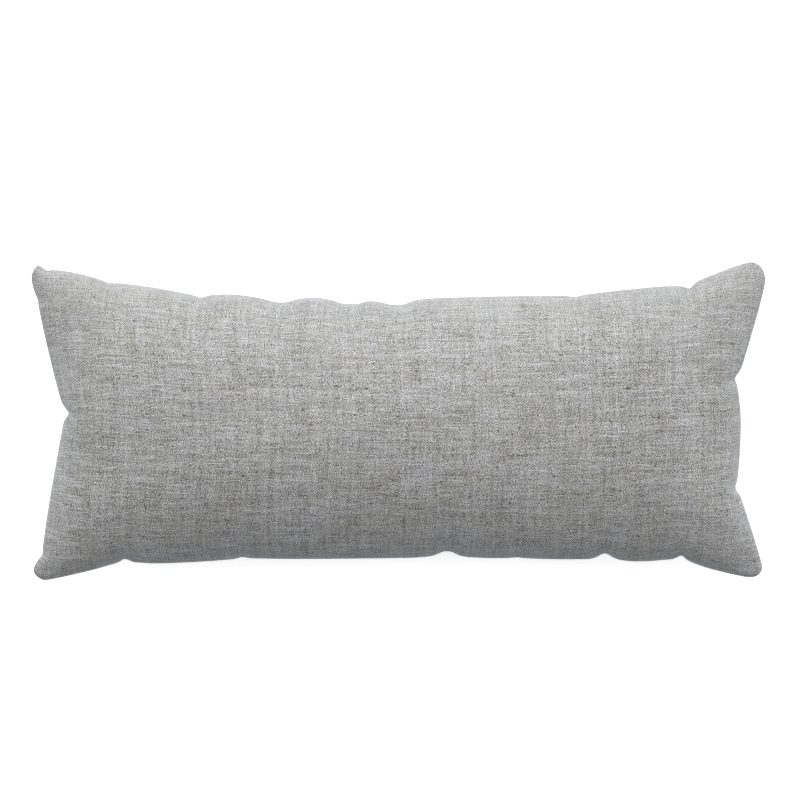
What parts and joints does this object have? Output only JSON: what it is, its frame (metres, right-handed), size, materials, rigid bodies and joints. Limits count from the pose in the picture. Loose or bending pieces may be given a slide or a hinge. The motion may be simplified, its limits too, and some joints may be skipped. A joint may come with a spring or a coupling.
{
  "type": "outdoor lumbar cushion",
  "caption": "Long filled outdoor cushion with a knife-edge seam, a full crown, drawn-in puckered sides and soft corner ears, lying on its back.",
  "frame": {"origin": "centre of the overall plan size, on the resting face of the back panel", "axes": "+X along the cushion's length, +Y across it, +Z from the back panel out through the front panel"},
  "size_m": [0.711, 0.308, 0.1313],
  "materials": {
    "cloth": "heathered pale grey outdoor weave, matt"
  },
  "bodies": {
    "root": {"cushion": "cloth"}
  },
  "joints": []
}
